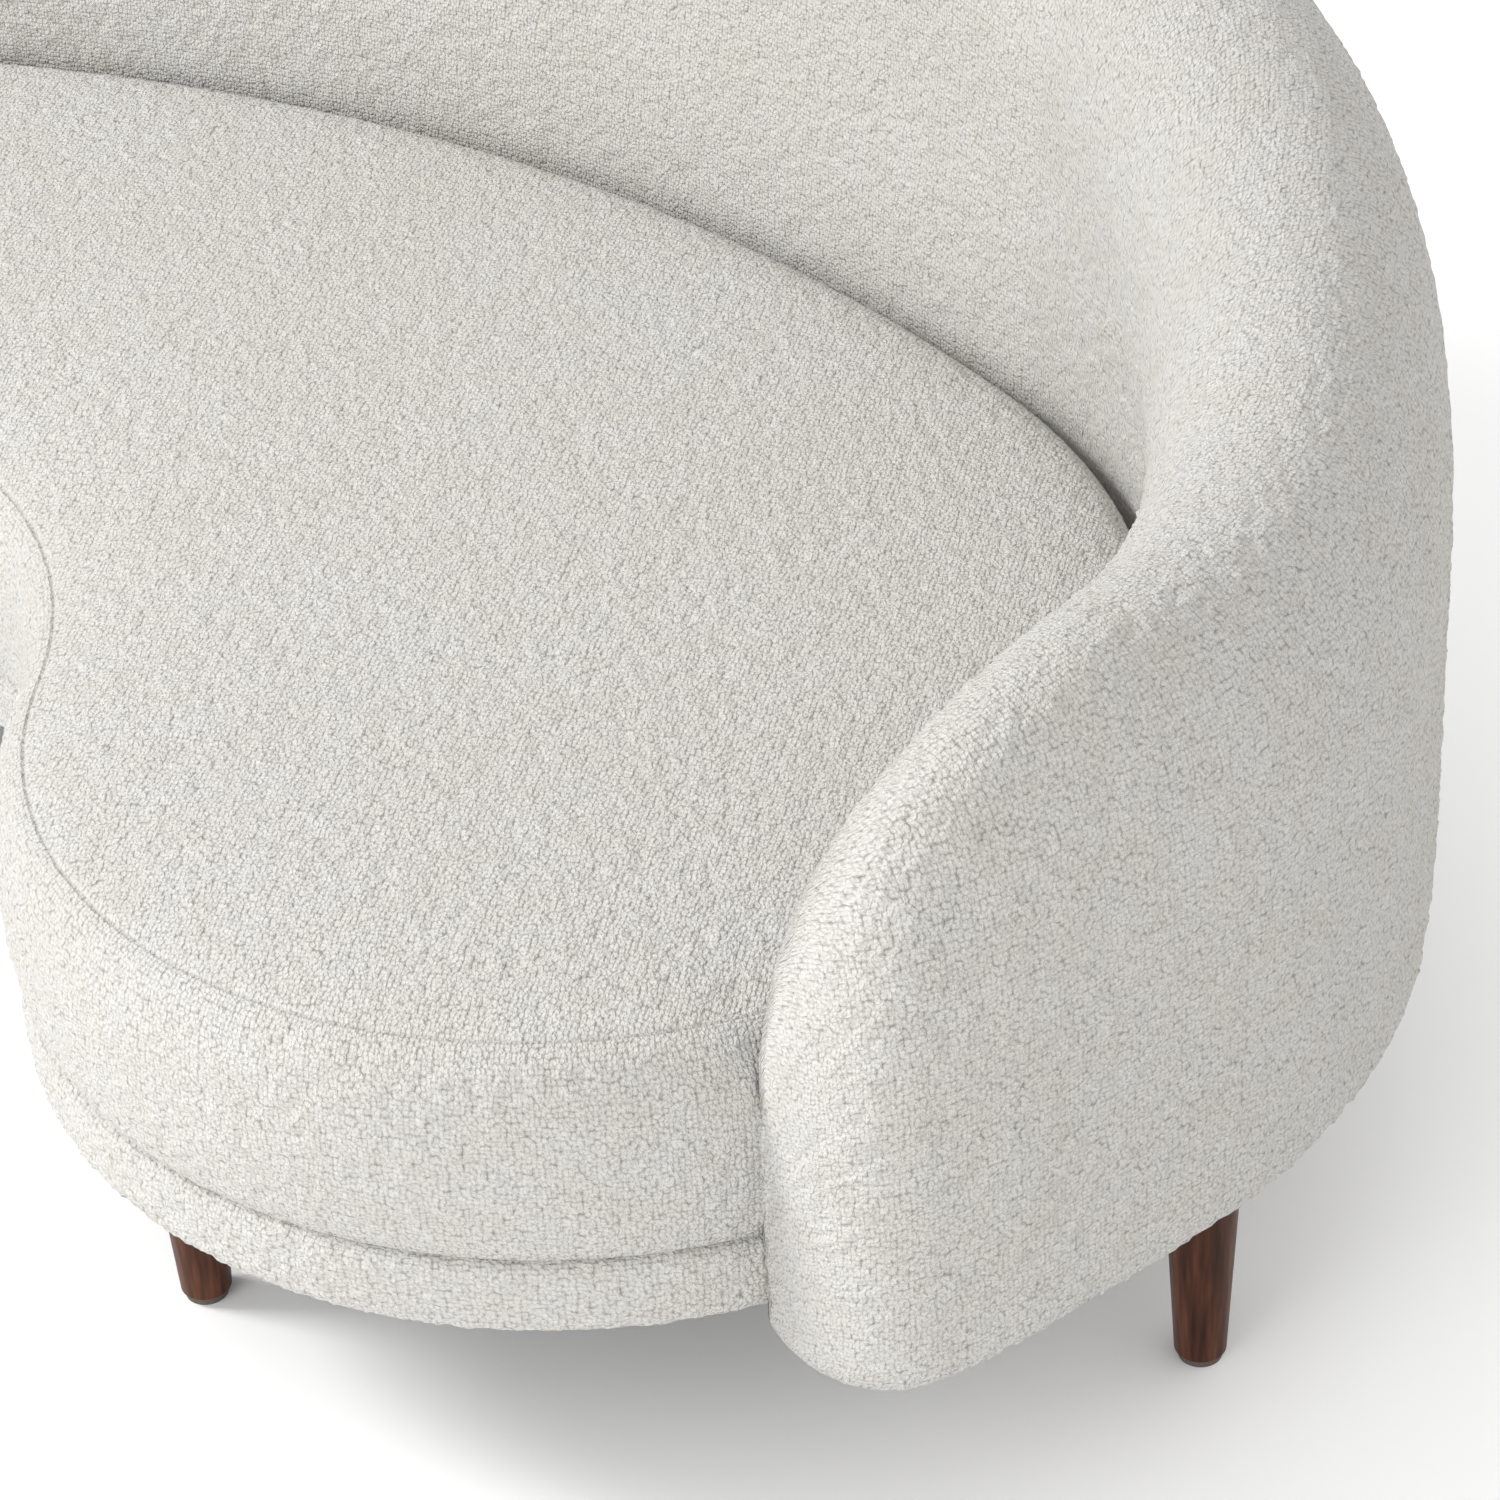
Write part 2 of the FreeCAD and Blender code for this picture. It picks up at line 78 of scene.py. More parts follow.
lobe_step = CORNER_RADIUS - LOBE_RADIUS
lobe = np.array([seat_high.x - CORNER_RADIUS + lobe_step * math.cos(math.radians(LOBE_TURN)),
                 seat_low.y + LOBE_RADIUS])
corner = np.array([seat_high.x - CORNER_RADIUS,
                   lobe[1] + lobe_step * math.sin(math.radians(LOBE_TURN))])
back_rise = seat_high.y - corner[1] - CORNER_RADIUS
back_run = (corner[0] ** 2 - back_rise ** 2) / (2 * back_rise)
back = np.array([0.0, corner[1] - back_run])
BACK_RADIUS = seat_high.y - back[1]
BACK_ANGLE = math.degrees(math.atan2(back_run, corner[0]))
waist_y = seat_high.y - SEAT_DEPTH
waist_fall = lobe[1] - waist_y
WAIST_RADIUS = ((lobe[0] ** 2 + waist_fall ** 2 - LOBE_RADIUS ** 2)
                / (2 * (LOBE_RADIUS - waist_fall)))
waist = np.array([0.0, waist_y - WAIST_RADIUS])
WAIST_ANGLE = math.degrees(math.atan2(lobe[1] - waist[1], lobe[0]))

ARM_ANGLE = -58.7          # normal angle at which an arm ends
HIDE_BEHIND = 12           # the seat's side starts to narrow this many degrees behind an arm's end
HIDE_OVER = 8              # and has narrowed this many degrees further on
HIDDEN_INSET = 0.0015      # how far the narrowed side stays inside the outline
LUMP_FADE = 0.006          # height over which the raised loops fade in
MIRROR = np.array([-1.0, 1.0])

# centre, radius, first and last normal angle, +1 where the outline bulges out and -1 at the waist
OUTLINE = [
    (lobe, LOBE_RADIUS, WAIST_ANGLE - 180, -LOBE_TURN, 1),
    (corner, CORNER_RADIUS, -LOBE_TURN, BACK_ANGLE, 1),
    (back, BACK_RADIUS, BACK_ANGLE, 180 - BACK_ANGLE, 1),
    (corner * MIRROR, CORNER_RADIUS, 180 - BACK_ANGLE, 180 + LOBE_TURN, 1),
    (lobe * MIRROR, LOBE_RADIUS, 180 + LOBE_TURN, 360 - WAIST_ANGLE, 1),
    (waist, WAIST_RADIUS, 360 - WAIST_ANGLE, 180 + WAIST_ANGLE, -1),
]


def outline_stations(spacing, first=None, last=None):
    """Points, outward normals and normal angles along the outline, evenly spaced.

    The whole waist counts as facing the front, 270 degrees. first and last limit the normal
    angle and leave the waist out.
    """
    points, normals, angles = [], [], []
    for centre, radius, start, end, side in OUTLINE:
        if first is not None:
            if side < 0 or end <= first or start >= last:
                continue
            start, end = max(start, first), min(end, last)
        count = max(2, round(math.radians(abs(end - start)) * radius / spacing))
        turn = start + (end - start) * np.arange(count) / count
        rad = np.radians(turn)
        normal = np.stack([np.cos(rad), np.sin(rad)], 1)
        points.append(centre + side * radius * normal)
        normals.append(normal)
        angles.append(turn if side > 0 else np.full(count, 270.0))
    if first is not None:
        rad = math.radians(last)
        normal = np.array([[math.cos(rad), math.sin(rad)]])
        centre, radius = [(c, r) for c, r, s, e, k in OUTLINE if k > 0 and s < last <= e][0]
        points.append(centre + radius * normal)
        normals.append(normal)
        angles.append(np.array([last]))
    return np.concatenate(points), np.concatenate(normals), np.concatenate(angles)


def blend(share):
    """Smooth step from 0 to 1."""
    return 0.5 - 0.5 * np.cos(np.pi * np.clip(share, 0, 1))


def uncovered(angles):
    """1 where the seat's side is open to view, fading to 0 behind the arms' ends, as a column."""
    right = blend((ARM_ANGLE + HIDE_BEHIND - angles) / HIDE_OVER)
    left = blend((angles - 180 + ARM_ANGLE + HIDE_BEHIND) / HIDE_OVER)
    return np.clip(right + left, 0, 1)[:, None]


def smooth_line(points, count):
    """Catmull-Rom curve through control points, as count samples evenly spaced along it."""
    p = np.asarray(points, float)
    p = np.concatenate([[2 * p[0] - p[1]], p, [2 * p[-1] - p[-2]]])
    dense = []
    for a, b, c, d in zip(p[:-3], p[1:-2], p[2:-1], p[3:]):
        for u in np.arange(24) / 24:
            dense.append(0.5 * (2 * b + (c - a) * u + (2 * a - 5 * b + 4 * c - d) * u ** 2
                                + (3 * b - a - 3 * c + d) * u ** 3))
    dense = np.array(dense + [p[-2]])
    run = np.concatenate([[0], np.cumsum(np.linalg.norm(np.diff(dense, axis=0), axis=1))])
    at = np.linspace(0, run[-1], count)
    return np.stack([np.interp(at, run, dense[:, k]) for k in range(dense.shape[1])], 1)


# ------------------------------------------------------------------ mesh helpers
def mesh_object(name, vertices, faces, material, node_names, lumpy, weave, flat=None):
    """Smooth-shaded boucle piece that rides on the frame and stands for CAD nodes.

    lumpy, from 0 to 1 for each vertex, says how far the raised loops may move it. weave is
    each vertex's place on the cloth, in metres; faces marked in flat take their place from
    above instead.
    """
    mesh = bpy.data.meshes.new(name)
    mesh.from_pydata(np.asarray(vertices).tolist(), [], faces)
    mesh.update()
    mesh.polygons.foreach_set("use_smooth", [True] * len(mesh.polygons))
    obj = bpy.data.objects.new(name, mesh)
    bpy.context.scene.collection.objects.link(obj)
    mesh.materials.append(material)
    group = obj.vertex_groups.new(name="lumpy")
    level = np.rint(np.asarray(lumpy) * 10).astype(int)
    for tenth in range(11):
        group.add(np.flatnonzero(level == tenth).tolist(), tenth / 10, "REPLACE")
    lay_cloth(mesh, weave, flat)
    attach(obj, "root")
    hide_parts(*node_names)
    return obj


def lay_cloth(mesh, weave, flat):
    """UV map in metres, without a jump where a closed loop meets its start."""
    corner = np.empty(len(mesh.loops), int)
    mesh.loops.foreach_get("vertex_index", corner)
    place = weave[corner]
    start = np.empty(len(mesh.polygons), int)
    total = np.empty(len(mesh.polygons), int)
    mesh.polygons.foreach_get("loop_start", start)
    mesh.polygons.foreach_get("loop_total", total)
    quads = start[total == 4][:, None] + np.arange(4)
    around = weave.max(0)
    for axis in (0, 1):
        value = place[quads, axis]
        jump = (value.max(1) - value.min(1)) > 0.5 * around[axis]
        value[jump] += np.where(value[jump] < 0.5 * around[axis], around[axis], 0)
        place[quads, axis] = value
    if flat is not None:
        position = np.array([vertex.co[:2] for vertex in mesh.vertices])
        loops = np.repeat(flat, total)
        place[loops] = position[corner[loops]]
    layer = mesh.uv_layers.new(name="weave")
    layer.data.foreach_set("uv", place.ravel())


def cloth_places(grid, base=0):
    """Length along a grid's base column, and length across it counted from that column."""
    along = np.linalg.norm(np.diff(grid[:, base], axis=0), axis=1)
    along = np.concatenate([[0], np.cumsum(along)])
    across = np.linalg.norm(np.diff(grid, axis=1), axis=2)
    across = np.concatenate([np.zeros((len(grid), 1)), np.cumsum(across, 1)], 1)
    across += 1.0 - across[:, base:base + 1]
    return np.stack([np.repeat(along[:, None], grid.shape[1], 1), across], 2).reshape(-1, 2)


def grid_faces(rows, columns, wrap_rows, wrap_columns):
    """Quads of a grid whose vertices are numbered row by row."""
    i = np.arange(rows if wrap_rows else rows - 1)
    j = np.arange(columns if wrap_columns else columns - 1)
    i, j = np.meshgrid(i, j, indexing="ij")
    i2, j2 = (i + 1) % rows, (j + 1) % columns
    quads = np.stack([i * columns + j, i2 * columns + j, i2 * columns + j2, i * columns + j2], -1)
    return quads.reshape(-1, 4).tolist()


def lifted(points, normals, radial, height):
    """3-D grid from plan stations: radial and height have one row for each station."""
    plan = points[:, None, :] + normals[:, None, :] * radial[:, :, None]
    return np.concatenate([plan, height[:, :, None]], 2)


# ------------------------------------------------------------------ materials
def new_material(name):
    mat = bpy.data.materials.new(name)
    mat.use_nodes = True
    tree = mat.node_tree
    return mat, tree, tree.nodes["Principled BSDF"]


def add(tree, kind, **settings):
    """New node; settings name its properties."""
    node = tree.nodes.new(kind)
    for key, value in settings.items():
        setattr(node, key, value)
    return node


def ramp(tree, source, stops):
    node = tree.nodes.new("ShaderNodeValToRGB")
    elements = node.color_ramp.elements
    while len(elements) < len(stops):
        elements.new(0.5)
    for element, (position, colour) in zip(elements, stops):
        element.position = position
        element.color = (*colour, 1)
    tree.links.new(source, node.inputs[0])
    return node.outputs[0]


def maths(tree, operation, a, b):
    node = tree.nodes.new("ShaderNodeMath")
    node.operation = operation
    for socket, value in zip(node.inputs, (a, b)):
        if isinstance(value, (int, float)):
            socket.default_value = value
        else:
            tree.links.new(value, socket)
    return node.outputs[0]


def pattern(tree, kind, vector, scale, output=0, **settings):
    node = add(tree, kind, **settings)
    node.inputs["Scale"].default_value = scale
    tree.links.new(vector, node.inputs["Vector"])
    return node.outputs[output]


def loop_pattern(tree, vector, scale, randomness):
    """Distance to the middle of the nearest loop, over a flat cloth with scale loops a metre."""
    node = add(tree, "ShaderNodeTexVoronoi", voronoi_dimensions="2D", feature="F1")
    node.inputs["Scale"].default_value = scale
    node.inputs["Randomness"].default_value = randomness
    tree.links.new(vector, node.inputs["Vector"])
    return node.outputs["Distance"]


def boucle_material():
    """Ivory boucle: packed loops over a warmer ground cloth, with fine curled fibre. The gaps
    between the loops are coloured darker: partly the warmer ground cloth, partly painted shade
    where the loops shade each other.
    """
    mat, tree, shader = new_material("boucle")
    link = tree.links.new
    place = add(tree, "ShaderNodeTexCoord").outputs["Object"]
    cloth = add(tree, "ShaderNodeUVMap", uv_map="weave").outputs[0]
    wander = pattern(tree, "ShaderNodeTexNoise", place, 110, output=1)
    offset = add(tree, "ShaderNodeVectorMath", operation="MULTIPLY_ADD")
    link(wander, offset.inputs[0])
    offset.inputs[1].default_value = (0.0022, 0.0022, 0.0022)
    link(cloth, offset.inputs[2])
    warped = offset.outputs[0]
    loops = loop_pattern(tree, warped, 320, 0.60)
    curls = loop_pattern(tree, warped, 690, 1.0)
    tufts = pattern(tree, "ShaderNodeTexNoise", place, 85)
    patches = pattern(tree, "ShaderNodeTexNoise", place, 30)
    broad = pattern(tree, "ShaderNodeTexNoise", place, 3.2)

    dome = maths(tree, "SUBTRACT", 1.0, maths(tree, "POWER", loops, 1.8))
    height = maths(tree, "ADD", maths(tree, "MULTIPLY", dome, 0.8),
                   maths(tree, "MULTIPLY", maths(tree, "SUBTRACT", 1.0, curls), 0.3))
    height = maths(tree, "ADD", height, maths(tree, "MULTIPLY", tufts, 1.0))
    bump = add(tree, "ShaderNodeBump")
    bump.inputs["Strength"].default_value = 1.0
    bump.inputs["Distance"].default_value = 0.0027
    link(height, bump.inputs["Height"])
    link(bump.outputs[0], shader.inputs["Normal"])

    # painted shade: this ramp darkens the gaps between loops, partly the warmer ground cloth and
    # partly painted shade where the raised loops shade the ground
    yarn_and_gap_shade = ramp(tree, dome, [(0.35, (0.35, 0.336, 0.312)), (0.62, (0.515, 0.506, 0.484)),
                             (0.95, (0.585, 0.577, 0.556))])
    tint = ramp(tree, patches, [(0.35, (0.985, 0.97, 0.942)), (0.62, (1.0, 1.0, 1.0))])
    shade = ramp(tree, broad, [(0.35, (0.985, 0.975, 0.952)), (0.65, (1.0, 1.0, 1.0))])
    colour = yarn_and_gap_shade
    for layer in (tint, shade):
        mix = add(tree, "ShaderNodeMix", data_type="RGBA", blend_type="MULTIPLY")
        mix.inputs["Factor"].default_value = 1.0
        link(colour, mix.inputs[6])
        link(layer, mix.inputs[7])
        colour = mix.outputs[2]
    link(colour, shader.inputs["Base Color"])
    shader.inputs["Roughness"].default_value = 0.95
    shader.inputs["Specular IOR Level"].default_value = 0.2
    shader.inputs["Sheen Weight"].default_value = 0.25
    shader.inputs["Sheen Roughness"].default_value = 0.6
    return mat


def walnut_material():
    """Dark stained walnut, grain running down the leg, under satin lacquer."""
    mat, tree, shader = new_material("walnut")
    link = tree.links.new
    place = add(tree, "ShaderNodeTexCoord").outputs["Object"]
    stretch = add(tree, "ShaderNodeMapping")
    stretch.inputs["Scale"].default_value = (1, 1, 0.07)
    link(place, stretch.inputs["Vector"])
    grain = pattern(tree, "ShaderNodeTexNoise", stretch.outputs[0], 260)
    figure = pattern(tree, "ShaderNodeTexNoise", stretch.outputs[0], 60)
    pores = pattern(tree, "ShaderNodeTexVoronoi", stretch.outputs[0], 900)
    mixed = maths(tree, "ADD", maths(tree, "MULTIPLY", grain, 0.55),
                  maths(tree, "MULTIPLY", figure, 0.45))
    colour = ramp(tree, mixed, [(0.34, (0.024, 0.008, 0.004)), (0.50, (0.062, 0.021, 0.010)),
                                (0.66, (0.120, 0.043, 0.021))])
    link(colour, shader.inputs["Base Color"])
    rough = ramp(tree, mixed, [(0.3, (0.46,) * 3), (0.7, (0.36,) * 3)])
    link(rough, shader.inputs["Roughness"])
    bump = add(tree, "ShaderNodeBump")
    bump.inputs["Strength"].default_value = 0.25
    bump.inputs["Distance"].default_value = 0.0004
    link(maths(tree, "ADD", grain, maths(tree, "MULTIPLY", pores, 0.3)), bump.inputs["Height"])
    link(bump.outputs[0], shader.inputs["Normal"])
    shader.inputs["Specular IOR Level"].default_value = 0.14
    shader.inputs["Coat Weight"].default_value = 0.05
    shader.inputs["Coat Roughness"].default_value = 0.22
    return mat


def simple_material(name, dark, light, scale, roughness, metallic=0.0, squeeze=(1, 1, 1),
                    depth=0.0003, strength=0.4):
    """Two-tone noise material for hardware and hidden pieces."""
    mat, tree, shader = new_material(name)
    place = add(tree, "ShaderNodeTexCoord").outputs["Object"]
    stretch = add(tree, "ShaderNodeMapping")
    stretch.inputs["Scale"].default_value = squeeze
    tree.links.new(place, stretch.inputs["Vector"])
    noise = pattern(tree, "ShaderNodeTexNoise", stretch.outputs[0], scale)
    tree.links.new(ramp(tree, noise, [(0.35, dark), (0.65, light)]), shader.inputs["Base Color"])
    bump = add(tree, "ShaderNodeBump")
    bump.inputs["Strength"].default_value = strength
    bump.inputs["Distance"].default_value = depth
    tree.links.new(noise, bump.inputs["Height"])
    tree.links.new(bump.outputs[0], shader.inputs["Normal"])
    shader.inputs["Roughness"].default_value = roughness
    shader.inputs["Metallic"].default_value = metallic
    return mat


BOUCLE = boucle_material()
CAD_MATERIALS = {
    "walnut": walnut_material(),
    "foam": simple_material("foam", (0.62, 0.56, 0.38), (0.74, 0.69, 0.52), 700, 0.9),
    "dust_cloth": simple_material("dust_cloth", (0.012,) * 3, (0.035,) * 3, 800, 0.95),
    "felt": simple_material("felt", (0.07, 0.06, 0.055), (0.13, 0.115, 0.10), 1200, 0.95),
    "steel": simple_material("steel", (0.40, 0.40, 0.41), (0.60, 0.60, 0.61), 300, 0.38, 1.0,
                             (1, 12, 1), 0.0001, 0.15),
    "webbing": simple_material("webbing", (0.03, 0.03, 0.035), (0.10, 0.10, 0.11), 500, 0.85,
                               0.0, (1, 6, 1)),
    "plywood": simple_material("plywood", (0.50, 0.35, 0.21), (0.70, 0.54, 0.36), 40, 0.7, 0.0,
                               (1, 8, 1)),
}
slots = {part["node"]: part["material_slot"] for part in frame["record"]["subparts"]}
for name, obj in frame["nodes"].items():
    material = CAD_MATERIALS.get(slots[name], BOUCLE)
    obj.data.materials.clear()
    obj.data.materials.append(material)


# ------------------------------------------------------------------ wrap-around back and arms
OVERALL_HEIGHT = cad_high.z
ARM_HEIGHT = 0.574
NOSE_LENGTH = 0.200
NOSE_ROUND = 0.050
EDGE_ROUND = 0.052
SIDE_THICKNESS = cad_high.x - seat_high.x - CREASE_GAP
BACK_THICKNESS = cad_high.y - seat_high.y - CREASE_GAP
NOSE_THICKNESS = 0.110
KAPPA = 0.5523
FULL_SHOULDER = 0.60
TIP_STATIONS = (0.00005, 0.0003, 0.0008, 0.0016, 0.0027)   # extra stations, metres from an end


def bezier_rows(p0, p1, p2, p3, count):
    """Cubic curves with one row of control points for each station."""
    u = (np.arange(count) / count)[None, :, None]
    p0, p1, p2, p3 = (p[:, None, :] for p in (p0, p1, p2, p3))
    return (p0 * (1 - u) ** 3 + 3 * p1 * u * (1 - u) ** 2 + 3 * p2 * u ** 2 * (1 - u) + p3 * u ** 3)


def quarter_rows(start, turn, end, fullness, count):
    return bezier_rows(start, start + (turn - start) * fullness, end + (turn - end) * fullness,
                       end, count)


def line_rows(start, end, count):
    return bezier_rows(start, start + (end - start) / 3, start + (end - start) * 2 / 3, end, count)


def wrap_profile(angles, from_end):
    """Closed cross-sections, as radial offset and height, with one row for each station."""
    half = np.where(angles > 90, 180 - angles, angles)
    side = SIDE_THICKNESS
    full = np.where(half > 0, side + (BACK_THICKNESS - side) * blend(half / 45),
                    side + (NOSE_THICKNESS - side) * blend(-half / 40))
    crest_full = ARM_HEIGHT + (OVERALL_HEIGHT - ARM_HEIGHT) * blend((half + 20) / 100)
    narrow = np.clip(1 - from_end / NOSE_ROUND, 0, 1)
    drop = np.clip(1 - from_end / NOSE_LENGTH, 0, 1)
    width = full * np.sqrt(1 - narrow ** 2)
    crest = FLOOR_GAP + (crest_full - FLOOR_GAP) * (1 - drop ** 2) ** 0.2
    rise = crest - FLOOR_GAP
    reclined = blend((half - 10) / 60)
    lean = (0.026 * reclined - 0.018 * (1 - reclined)) * (1 - drop) * (1 - narrow)
    zero = np.zeros_like(width)
    # the underside sits a little lower towards an arm's end
    low = FLOOR_GAP - 0.0015 - 0.005 * blend((0.170 - from_end) / 0.120)
    round_out = np.minimum(EDGE_ROUND, 0.35 * width)
    round_in = np.minimum(0.008, 0.2 * width)
    middle = lean + 0.47 * (width - lean)
    shoulder_out = crest - np.minimum(0.42 * rise, 0.190)
    shoulder_in = crest - np.minimum(0.30 * rise, 0.115)
    foot = FLOOR_GAP + np.minimum(SEAT_TOP + 0.003 - FLOOR_GAP, 0.55 * rise)
    halfway = (shoulder_in + foot) / 2

    def rows(radial, height):
        return np.stack([radial, height], 1)

    # rows for each piece of the section: the fewest, and its rough length in metres
    wall, turn, lip, face, under = (
        max(least, round(length / STEP))
        for least, length in ((8, 0.34), (8, 0.21), (6, 0.15), (6, 0.24), (5, 0.08)))
    parts = [
        line_rows(rows(round_in, low), rows(width - round_out, low), under),
        quarter_rows(rows(width - round_out, low), rows(width, low),
                     rows(width, low + round_out), KAPPA, under),
        line_rows(rows(width, low + round_out), rows(width, shoulder_out), wall),
        quarter_rows(rows(width, shoulder_out), rows(width, crest), rows(middle, crest),
                     FULL_SHOULDER, turn),
        quarter_rows(rows(middle, crest), rows(lean, crest), rows(lean, shoulder_in),
                     FULL_SHOULDER, lip),
        bezier_rows(rows(lean, shoulder_in), rows(lean, halfway), rows(zero, halfway),
                    rows(zero, foot), face),
        line_rows(rows(zero, foot), rows(zero, low + round_in), max(6, face // 3)),
        quarter_rows(rows(zero, low + round_in), rows(zero, low), rows(round_in, low), KAPPA, 3),
    ]
    section = np.concatenate(parts, 1)
    return section[:, :, 0], section[:, :, 1]


def wrap_object():
    last = 180 - ARM_ANGLE
    points, normals, angles = outline_stations(STEP, ARM_ANGLE, last)
    # extra stations close to each end, where the section changes fastest
    degrees = math.degrees(1 / LOBE_RADIUS)
    tips = np.array(TIP_STATIONS) * degrees
    extra = np.concatenate([ARM_ANGLE + tips, last - tips])
    rad = np.radians(extra)
    extra_normals = np.stack([np.cos(rad), np.sin(rad)], 1)
    centres = np.where(extra[:, None] > 90, lobe * MIRROR, lobe)
    points = np.concatenate([points[1:-1], centres + LOBE_RADIUS * extra_normals])
    normals = np.concatenate([normals[1:-1], extra_normals])
    angles = np.concatenate([angles[1:-1], extra])
    order = np.argsort(angles)
    points, normals, angles = points[order], normals[order], angles[order]
    from_end = np.radians(np.minimum(angles - ARM_ANGLE, last - angles)) * LOBE_RADIUS
    radial, height = wrap_profile(angles, from_end)
    grid = lifted(points, normals, radial + CREASE_GAP, height)
    rows, columns = height.shape
    faces = grid_faces(rows, columns, False, True)
    faces.append(list(range(columns)))
    faces.append(list(range(rows * columns - 1, (rows - 1) * columns - 1, -1)))
    lumpy = np.clip((height - FLOOR_GAP + 0.001) / LUMP_FADE, 0, 1)
    # the face pressed against the seat stays smooth
    buried = (radial < 0.006) & (height < SEAT_TOP - 0.02) & (from_end[:, None] > 0.012)
    lumpy = np.where(buried, 0, lumpy)
    wall = int(radial[rows // 2].argmax())
    return mesh_object("wrap_cover", grid.reshape(-1, 3), faces, BOUCLE,
                       ["back_upholstery", "arm_upholstery_left", "arm_upholstery_right"],
                       lumpy.ravel(), cloth_places(grid, wall))


# ------------------------------------------------------------------ seat
def distances(plan, line):
    """Distance from each plan point to the nearest point of a dense line."""
    best = np.empty(len(plan))
    for start in range(0, len(plan), 2000):
        block = plan[start:start + 2000]
        best[start:start + 2000] = np.sqrt(((block[:, None] - line[None]) ** 2).sum(2).min(1))
    return best


fine_points, _, fine_angles = outline_stations(0.004)
is_front = (fine_angles < ARM_ANGLE) | (fine_angles > 180 - ARM_ANGLE)
front_line, back_line = fine_points[is_front], fine_points[~is_front]


FRONT_DROP, FRONT_FADE = 0.0255, 0.058     # fall of the top at the front seam, and its reach
REAR_DROP, REAR_FADE = 0.034, 0.012        # the same at the crease


def seat_height(plan):
    """Crowned top: a soft shoulder at the front seam, a tight roll into the crease."""
    front = np.exp(-np.maximum(distances(plan, front_line) - 0.010, 0) / FRONT_FADE)
    rear = np.exp(-distances(plan, back_line) / REAR_FADE)
    return SEAT_TOP - FRONT_DROP * front - REAR_DROP * rear * (1 - 0.7 * front)


# radial offset and height of the seat's free front face in millimetres, from the lower seam up
SIDE = [(-6, 203), (-3.5, 206), (-0.5, 210.5), (3, 221), (6.5, 246), (7.5, 276), (6.2, 303),
        (2.5, 325), (-3.5, 339.5), (-10, 347.5), (-16, 351.2)]
SEAM_GROOVE = [(-17.5, 351.9), (-18.5, 350.9), (-19.2, 350.9), (-20.0, 352.2)]
SEAM_RING = [-20.8, -23, -27, -33]
LUMPS_FROM, LUMPS_TO = 0.206, 0.3495       # heights on that face between which loops are raised


def seat_object():
    points, normals, angles = outline_stations(STEP)
    free = uncovered(angles)
    side = smooth_line(SIDE, max(14, round(0.17 / STEP))) * MM
    side = np.concatenate([side, np.array(SEAM_GROOVE) * MM])
    hidden = -HIDDEN_INSET - 0.005 * np.clip((side[None, :, 1] - 0.325) / 0.02, 0, 1)
    radial = side[None, :, 0] * free + np.minimum(hidden, side[None, :, 0] + 0.004) * (1 - free)
    height = np.repeat(side[None, :, 1], len(points), 0)
    rings = np.array(SEAM_RING) * MM
    ring_radial = np.repeat(rings[None, :], len(points), 0) * (0.6 + 0.4 * free)
    plan = (points[:, None] + normals[:, None] * ring_radial[:, :, None]).reshape(-1, 2)
    ring_height = seat_height(plan).reshape(ring_radial.shape)
    # towards the back the groove fades into the roll at the crease
    rolled = ring_height[:, :1] - 0.002
    groove = height[:, -len(SEAM_GROOVE):]
    height[:, -len(SEAM_GROOVE):] = groove * free + np.minimum(groove, rolled) * (1 - free)
    lumpy = (np.clip((LUMPS_TO - side[:, 1]) / LUMP_FADE, 0.2, 1)
             * np.clip((side[:, 1] - LUMPS_FROM) / LUMP_FADE, 0.1, 1))
    lumpy = lumpy[None, :] * free * np.ones_like(radial)
    lumpy = np.concatenate([lumpy, 0.5 * np.ones_like(ring_radial) * (0.5 + 0.5 * free)], 1)
    radial = np.concatenate([radial, ring_radial], 1)
    height = np.concatenate([height, ring_height], 1)
    grid = lifted(points, normals, radial, height)
    rows, columns = height.shape
    vertices = grid.reshape(-1, 3)
    faces = grid_faces(rows, columns, True, False)
    on_top = [column >= len(side) - 1 for column in range(columns - 1)] * rows
    faces.append([row * columns for row in range(rows)][::-1])

    rim = vertices[np.arange(rows) * columns + columns - 1, :2]
    pitch = STEP * 1.05
    xs = np.arange(-seat_high.x, seat_high.x, pitch)
    ys = np.arange(seat_low.y, seat_high.y, pitch * math.sqrt(3) / 2)
    gx, gy = np.meshgrid(xs, ys)
    gx[1::2] += pitch / 2
    cloud = np.stack([gx.ravel(), gy.ravel()], 1)
    cloud = cloud[inside(cloud, rim)]
    cloud = cloud[distances(cloud, rim) > pitch * 0.6]
    coords = [Vector(p) for p in np.concatenate([rim, cloud]).tolist()]
    edges = [(k, (k + 1) % rows) for k in range(rows)]
    out, _, tris, origin, _, _ = delaunay_2d_cdt(coords, edges, [], 1, 1e-6)
    plan = np.array([tuple(p) for p in out])
    top_z = seat_height(plan)
    ids = np.empty(len(out), int)
    added = []
    for k, source in enumerate(origin):
        if source and source[0] < rows:
            ids[k] = source[0] * columns + columns - 1
        else:
            ids[k] = len(vertices) + len(added)
            added.append((plan[k, 0], plan[k, 1], top_z[k]))
    vertices = np.concatenate([vertices, np.array(added)])
    lumpy = np.concatenate([lumpy.ravel(), np.ones(len(added))])
    faces += [[int(ids[c]) for c in tri] for tri in tris]
    weave = np.concatenate([cloth_places(grid), np.array(added)[:, :2]])
    on_top += [True] * (len(faces) - len(on_top))
    return mesh_object("seat_cover", vertices, faces, BOUCLE, ["seat_upholstery", "seat_foam"],
                       lumpy, weave, np.array(on_top))


